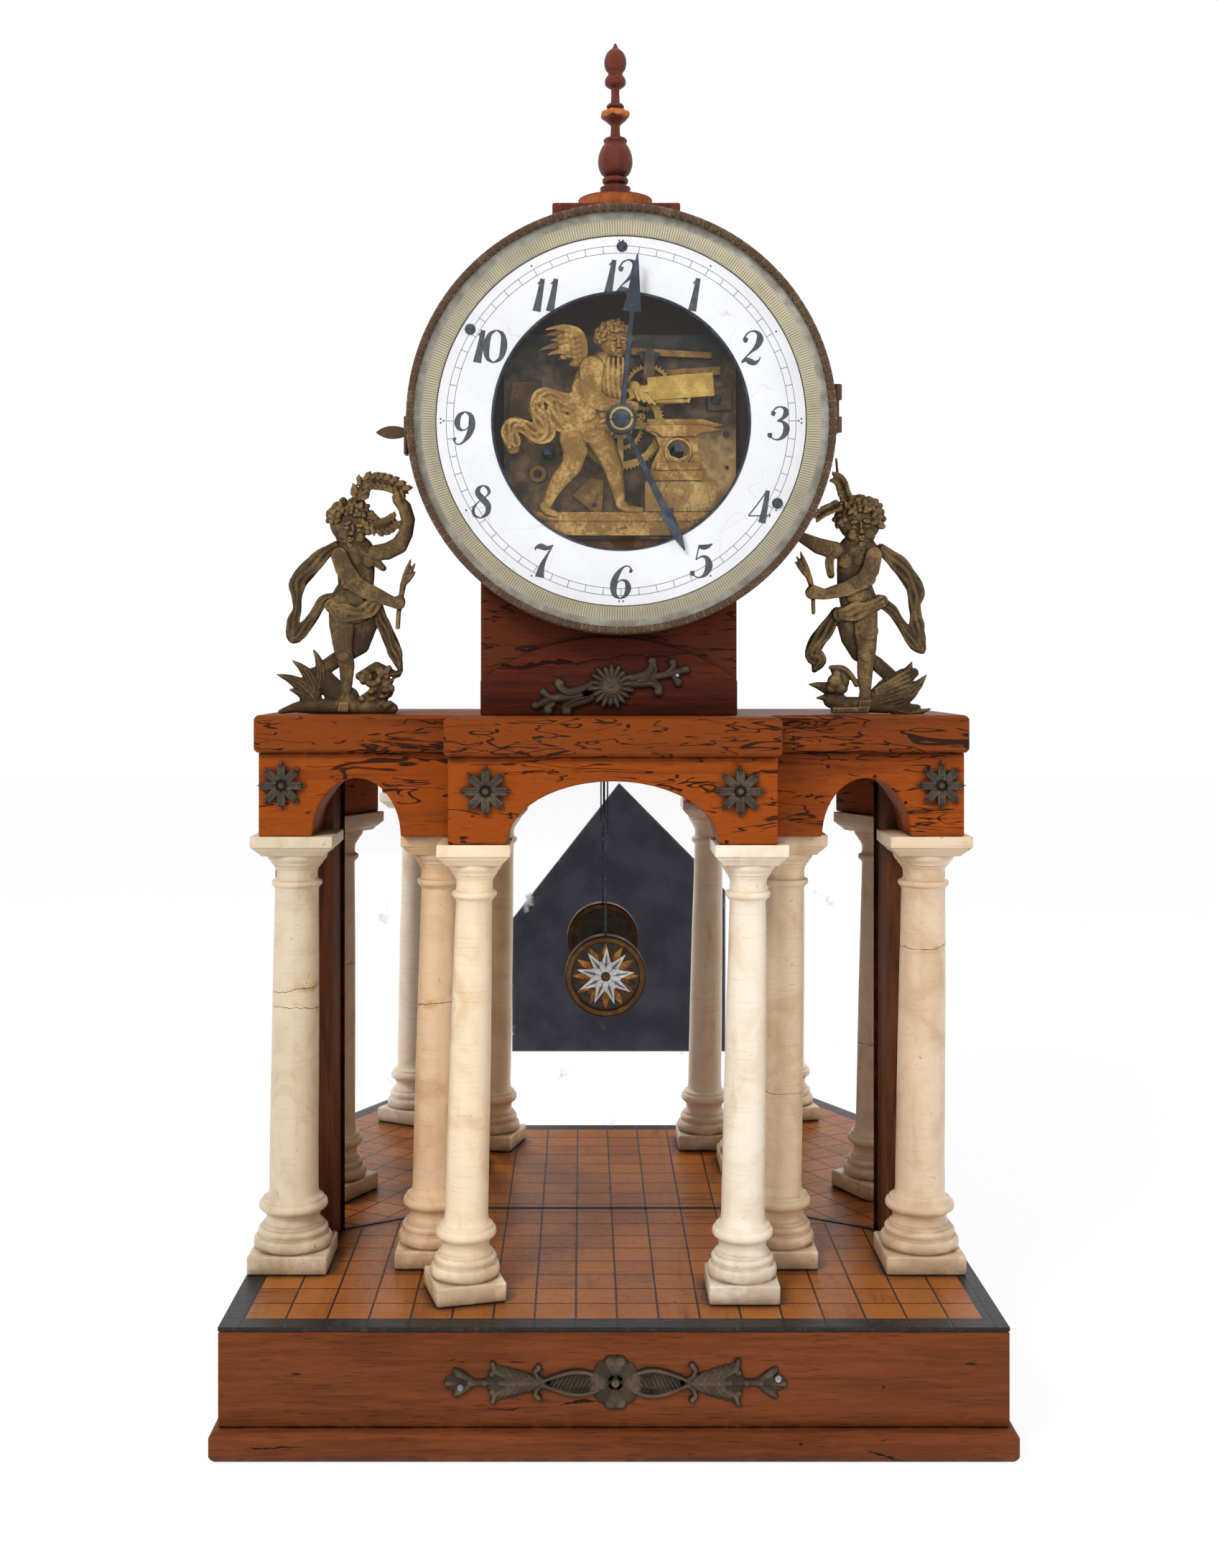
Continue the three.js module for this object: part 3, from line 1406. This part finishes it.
const cupidDraperyShares = [
  [
    [-0.1, -0.04, 0.1],
    [-0.42, -0.03, 0.12],
    [-0.6, 0.15, 0.1],
    [-0.71, 0.21, 0.075],
    [-0.69, 0.05, 0.07],
    [-0.66, -0.08, 0.085],
    [-0.79, -0.12, 0.075],
    [-0.88, -0.03, 0.06],
    [-0.96, -0.09, 0.07],
    [-0.94, -0.21, 0.05],
  ],
];
const cupidWingShares = [
  [-0.25, 0.42],
  [-0.3, 0.6],
  [-0.33, 0.74],
  [-0.43, 0.83],
  [-0.66, 0.83],
  [-0.59, 0.74],
  [-0.73, 0.65],
  [-0.62, 0.58],
  [-0.5, 0.5],
  [-0.38, 0.44],
];

function addAutomaton(dial) {
  const wing = outline(cupidWingShares.map(([x, z]) => [x * cupidHeight, z * cupidHeight]));
  const wingPlate = facing(wing, -cupidThickness / 4, cupidThickness / 2);
  const chains = [cupidHeadShares, cupidTorsoShares, ...cupidLimbShares, ...cupidDraperyShares];
  const figure = relief(chains, cupidHeight, cupidThickness, wingPlate);
  const middle = automatonFront + cupidThickness / 2;
  const back = automatonFront + cupidThickness;
  const stud = rod(armPinRadius, -joinLap, armPlane + armThickness - middle, armPivotX, armPivotZ, tinySides);
  const passage = rod(hourPipeRadius + pipeClearance, -cupidThickness, cupidThickness);
  const below = groundTop + seatGap;
  const ground = board(2 * cupidHeight, 2 * cupidThickness, cupidHeight, 0, -cupidThickness, below - cupidHeight);
  const cupid = join(cut(figure, passage, ground), stud);
  dial.add(mesh("automaton_cupid", cupid, "brass", 0, middle, 0));

  const bar = rectangle(groundLeft, groundTop - groundHeight, groundRight, groundTop);
  const stump = rectangle(stumpLeft, groundTop - joinLap, stumpRight, stumpTop);
  const anvil = outline([
    [goingX - anvilFoot, stumpTop - joinLap],
    [goingX + anvilFoot, stumpTop - joinLap],
    [goingX + anvilFoot, stumpTop + anvilFoot * anvilFootShare],
    [goingX + anvilWaist, goingZ],
    [goingX + anvilFoot * anvilNeckShare, goingZ + anvilHole + seatGap],
    [goingX + anvilFoot * anvilNeckShare, anvilTop - anvilFoot * anvilFootShare],
    [anvilHornReach, anvilTop - anvilFoot * anvilFootShare / 2],
    [goingX + anvilFoot * anvilNeckShare, anvilTop],
    [anvilHeelReach, anvilTop],
    [anvilHeelReach, anvilTop - anvilFoot * anvilFootShare],
    [goingX - anvilFoot * anvilNeckShare, goingZ + anvilHole + seatGap],
    [goingX - anvilWaist, goingZ],
    [goingX - anvilFoot, stumpTop + anvilFoot * anvilFootShare],
  ]);
  anvil.holes.push(circleHole(goingX, goingZ, anvilHole));
  const posts = [-groundPostX, groundPostX].map((x) =>
    rod(groundPostRadius, groundThickness - joinLap, frontPlateFront - seatGap - groundFront, x, groundTop - groundHeight / 2, tinySides),
  );
  const scene = join(...[bar, stump, anvil].map((shape) => facing(shape, 0, groundThickness, 4)), ...posts);
  dial.add(mesh("automaton_ground", scene, "brass", 0, groundFront, 0));

  const head = board(hammerLength, hammerThickness, hammerHeight, 0, 0, -hammerHeight / 2);
  head.rotateY(-hammerTilt).translate(hammerX - armPivotX, 0, hammerZ - armPivotZ);
  const reachX = hammerX - armPivotX - hammerLength * handleEndShare;
  const reachZ = hammerZ - armPivotZ;
  const handle = outline([
    [0, -handleWidth],
    [reachX, reachZ - handleWidth / 2],
    [reachX, reachZ + handleWidth / 2],
    [0, handleWidth],
  ]);
  const hub = rod(armHubRadius, 0, armThickness);
  const armBody = join(hub, facing(handle, 0, armThickness), head);
  const hammerArm = cut(armBody, rod(armBore, -overrun, armThickness + overrun));
  dial.add(mesh("automaton_arm", hammerArm, "brightBrass", armPivotX, armPlane, armPivotZ));
}

const anvilFootShare = 0.42;
const anvilNeckShare = 0.82;
const handleEndShare = 0.4;

// Cast figures beside the drum, each knot x, z and radius in shares of the figure's height
const leftFigureShares = {
  head: [
    [0.046, 0.87, 0.052],
    [0.046, 0.829, 0.083],
    [0.046, 0.781, 0.081],
    [0.048, 0.737, 0.053],
  ],
  torso: [
    [0.057, 0.728, 0.043],
    [0.057, 0.686, 0.09],
    [0.061, 0.611, 0.083],
    [0.061, 0.544, 0.08],
    [0.055, 0.485, 0.098],
    [0.054, 0.437, 0.086],
  ],
  standingLeg: [
    [0.002, 0.456, 0.062],
    [0, 0.271, 0.041],
    [0.02, 0.086, 0.023],
    [0.017, 0.034, 0.027],
  ],
  crossedLeg: [
    [0.105, 0.456, 0.059],
    [0.072, 0.289, 0.043],
    [-0.028, 0.219, 0.033],
    [-0.115, 0.156, 0.025],
    [-0.131, 0.064, 0.016],
  ],
  restingArm: [
    [-0.007, 0.678, 0.041],
    [0.072, 0.526, 0.037],
    [0.202, 0.478, 0.028],
    [0.246, 0.47, 0.025],
  ],
  raisedArm: [
    [0.131, 0.67, 0.04],
    [0.242, 0.707, 0.038],
    [0.272, 0.777, 0.034],
    [0.264, 0.851, 0.03],
    [0.247, 0.911, 0.027],
  ],
  wreath: [
    [0.061, 0.907, 0.033],
    [0.105, 0.996, 0.025],
    [0.165, 0.99, 0.022],
    [0.224, 0.979, 0.02],
    [0.29, 0.937, 0.012],
  ],
  wreathEnd: [
    [0.105, 0.837, 0.03],
    [0.15, 0.797, 0.028],
    [0.191, 0.797, 0.027],
    [0.23, 0.817, 0.015],
  ],
  torch: [
    [0.241, 0.363, 0.01],
    [0.257, 0.5, 0.012],
    [0.279, 0.581, 0.013],
    [0.301, 0.655, 0.015],
  ],
  drapery: [
    [-0.013, 0.722, 0.025],
    [-0.139, 0.648, 0.025],
    [-0.219, 0.567, 0.033],
    [-0.192, 0.478, 0.028],
    [-0.233, 0.374, 0.03],
    [-0.204, 0.297, 0.028],
    [-0.139, 0.367, 0.027],
    [-0.059, 0.454, 0.025],
    [-0.02, 0.507, 0.027],
  ],
  hipCloth: [
    [-0.039, 0.452, 0.043],
    [0.046, 0.422, 0.055],
    [0.137, 0.457, 0.041],
  ],
  fallingCloth: [
    [0.151, 0.463, 0.025],
    [0.202, 0.337, 0.031],
    [0.246, 0.271, 0.03],
    [0.253, 0.186, 0.019],
  ],
  mound: [
    [-0.261, 0.009, 0.015],
    [-0.131, 0.027, 0.034],
    [0.031, 0.027, 0.033],
    [0.216, 0.022, 0.037],
  ],
  fruit: [
    [0.098, 0.108, 0.049],
    [0.179, 0.171, 0.062],
    [0.184, 0.097, 0.055],
    [0.221, 0.05, 0.016],
  ],
  leafFar: [
    [-0.116, 0.056, 0.037],
    [-0.198, 0.13, 0.03],
    [-0.281, 0.166, 0.008],
  ],
  leafHigh: [
    [-0.116, 0.071, 0.037],
    [-0.176, 0.167, 0.027],
    [-0.215, 0.229, 0.008],
  ],
  leafMiddle: [
    [-0.098, 0.115, 0.037],
    [-0.119, 0.204, 0.022],
    [-0.124, 0.28, 0.007],
  ],
  leafLow: [
    [-0.124, 0.049, 0.03],
    [-0.224, 0.102, 0.008],
  ],
};

const rightFigureShares = {
  head: [
    [-0.03, 0.869, 0.057],
    [-0.03, 0.83, 0.086],
    [-0.03, 0.779, 0.089],
    [-0.033, 0.731, 0.059],
  ],
  torso: [
    [-0.045, 0.724, 0.045],
    [-0.045, 0.682, 0.095],
    [-0.051, 0.605, 0.084],
    [-0.054, 0.53, 0.078],
    [-0.037, 0.471, 0.086],
    [-0.037, 0.425, 0.077],
  ],
  standingLeg: [
    [-0.015, 0.417, 0.062],
    [-0.007, 0.259, 0.044],
    [-0.01, 0.083, 0.026],
    [-0.021, 0.026, 0.032],
  ],
  crossedLeg: [
    [-0.09, 0.387, 0.047],
    [-0.048, 0.237, 0.038],
    [0.03, 0.203, 0.032],
    [0.109, 0.128, 0.026],
    [0.08, 0.049, 0.017],
  ],
  restingArm: [
    [0.027, 0.668, 0.042],
    [-0.022, 0.552, 0.038],
    [-0.195, 0.5, 0.028],
    [-0.242, 0.51, 0.03],
  ],
  raisedArm: [
    [-0.135, 0.691, 0.039],
    [-0.21, 0.703, 0.036],
    [-0.275, 0.739, 0.027],
  ],
  wreath: [
    [-0.079, 0.883, 0.038],
    [-0.12, 0.981, 0.026],
    [-0.127, 1.048, 0.018],
    [-0.134, 1.087, 0.009],
  ],
  wreathEnd: [
    [-0.09, 0.864, 0.03],
    [-0.157, 0.875, 0.021],
    [-0.222, 0.836, 0.011],
  ],
  torch: [
    [-0.234, 0.417, 0.01],
    [-0.24, 0.522, 0.012],
    [-0.263, 0.612, 0.014],
    [-0.295, 0.682, 0.017],
  ],
  drapery: [
    [0.038, 0.691, 0.027],
    [0.181, 0.611, 0.027],
    [0.254, 0.522, 0.032],
    [0.206, 0.47, 0.027],
    [0.241, 0.413, 0.027],
    [0.248, 0.304, 0.027],
    [0.234, 0.248, 0.02],
  ],
  hipCloth: [
    [-0.109, 0.44, 0.038],
    [-0.037, 0.421, 0.054],
    [0.039, 0.466, 0.039],
  ],
  ribbon: [
    [0.045, 0.481, 0.027],
    [0.143, 0.372, 0.023],
    [0.215, 0.263, 0.023],
    [0.245, 0.246, 0.012],
  ],
  fallingCloth: [
    [-0.127, 0.428, 0.035],
    [-0.209, 0.319, 0.033],
    [-0.26, 0.229, 0.033],
    [-0.229, 0.171, 0.029],
    [-0.168, 0.229, 0.024],
    [-0.151, 0.331, 0.023],
  ],
  mound: [
    [-0.142, 0.019, 0.03],
    [-0.037, 0.023, 0.035],
    [0.113, 0.019, 0.03],
  ],
  leafRight: [
    [0.023, 0.049, 0.038],
    [0.143, 0.111, 0.032],
    [0.256, 0.156, 0.009],
  ],
  leafRightLow: [
    [0.023, 0.038, 0.035],
    [0.143, 0.053, 0.029],
    [0.227, 0.089, 0.009],
  ],
  leafRightFlat: [
    [0.038, 0.019, 0.023],
    [0.181, 0.017, 0.02],
    [0.282, 0.014, 0.008],
  ],
  leafLeft: [
    [-0.097, 0.053, 0.038],
    [-0.187, 0.095, 0.032],
    [-0.255, 0.112, 0.009],
  ],
  leafLeftLow: [
    [-0.097, 0.03, 0.032],
    [-0.172, 0.032, 0.027],
    [-0.225, 0.052, 0.009],
  ],
};

function addFigures(clock) {
  for (const [name, table, x, lift] of [
    ["putto_left", leftFigureShares, leftFigureX, 0],
    ["putto_right", rightFigureShares, rightFigureX, rightPegHeight],
  ]) {
    const height = figureHeight - lift;
    const under = board(height, height, height, 0, -height / 2, -height);
    const figure = cut(relief(Object.values(table), height, figureThickness), under);
    const peg = board(rightPegWidth, figureThickness, lift + joinLap, 0, -figureThickness / 2, -lift);
    const piece = lift > 0 ? join(figure, peg) : figure;
    clock.add(mesh(name, piece, "bronze", x, figureY, corniceTop + lift));
  }
}

// Pressed mounts on the plinth and the apron. The outline is one quarter, in shares of half length and half height.
const mountQuarterShares = [
  [0, 0.95],
  [0.08, 1],
  [0.14, 0.6],
  [0.2, 0.45],
  [0.3, 0.66],
  [0.4, 0.5],
  [0.47, 0.22],
  [0.54, 0.5],
  [0.62, 0.95],
  [0.7, 0.8],
  [0.75, 0.4],
  [0.8, 0.2],
  [0.87, 0.6],
  [0.94, 0.5],
  [1, 0.1],
];
const sunArmShares = [
  [
    [0.2, 0.02, 0.05],
    [0.36, -0.1, 0.045],
    [0.52, -0.04, 0.045],
    [0.6, 0.1, 0.045],
    [0.74, 0.1, 0.04],
    [0.86, 0, 0.05],
    [1, 0.02, 0.04],
  ],
  [
    [0.36, -0.1, 0.04],
    [0.5, 0.12, 0.05],
  ],
  [
    [0.74, 0.1, 0.035],
    [0.78, -0.14, 0.045],
  ],
];
const sunNotchShare = 0.62;
const sunSideShare = 0.86;
const sunRays = 16;

function mirrored(quarter) {
  const right = [...quarter, ...quarter.map(([x, z]) => [x, -z]).reverse()];
  const left = right.map(([x, z]) => [-x, z]).reverse();
  return [...left.slice(1, -1), ...right].reverse();
}

function addMounts(clock) {
  const halfLength = plinthMountLength / 2;
  const halfHeight = plinthMountHeight / 2;
  const shape = outline(mirrored(mountQuarterShares).map(([x, z]) => [x * halfLength, z * halfHeight]));
  const plate = facing(shape, -plinthMountThickness, plinthMountThickness);
  const boss = turnedBoss(flowerBoss, plinthMountThickness);
  clock.add(mesh("plinth_mount", join(plate, boss), "castBrass", 0, boxFront, plinthMountZ));

  const rays = petals(sunRays, sunRayRadius, sunNotchShare, sunSideShare, petalTurnShare);
  const arms = [1, -1].flatMap((side) =>
    sunArmShares.map((knots) => knots.map(([x, z, r]) => [side * x, side * z, r])),
  );
  const scrolls = relief(arms, sunLength / 2, 2 * sunThickness);
  const behind = board(sunLength * 2, sunThickness * 2, sunLength, 0, 0, -sunLength / 2);
  const face = cut(join(scrolls, facing(rays, -sunThickness, sunThickness * 2)), behind);
  const sun = mesh("sun_mount", join(face, turnedBoss(sunBoss, sunThickness)), "castBrass", sunX, drumFront, sunZ);
  sun.rotation.y = -sunTilt;
  sun.position.y -= seatGap;
  clock.add(sun);
}

// A low dome that faces forward, its foot inside the plate that it sits on
function turnedBoss(radius, height) {
  return ring(
    [
      [0, -2 * height],
      [radius * petalSideShare, -height * (1 + petalSideShare)],
      [radius, -height / 2],
      [0, -height / 2],
    ],
    smallSides,
  );
}

const clock = new THREE.Group();
const dial = new THREE.Group();
dial.position.set(dialX, 0, dialHeight);
clock.add(dial);
addPlinth(clock);
addColumns(clock);
addEntablature(clock);
addNiche(clock);
addPedestal(clock);
addCrown(clock);
addDrum(dial);
addBezel(dial);
addHinge(dial);
addPlates(dial);
addMotionWork(dial);
addGoingTrain(dial);
addEscapement(clock, dial);
addBell(dial);
addAutomaton(dial);
addFigures(clock);
addMounts(clock);

export default clock;
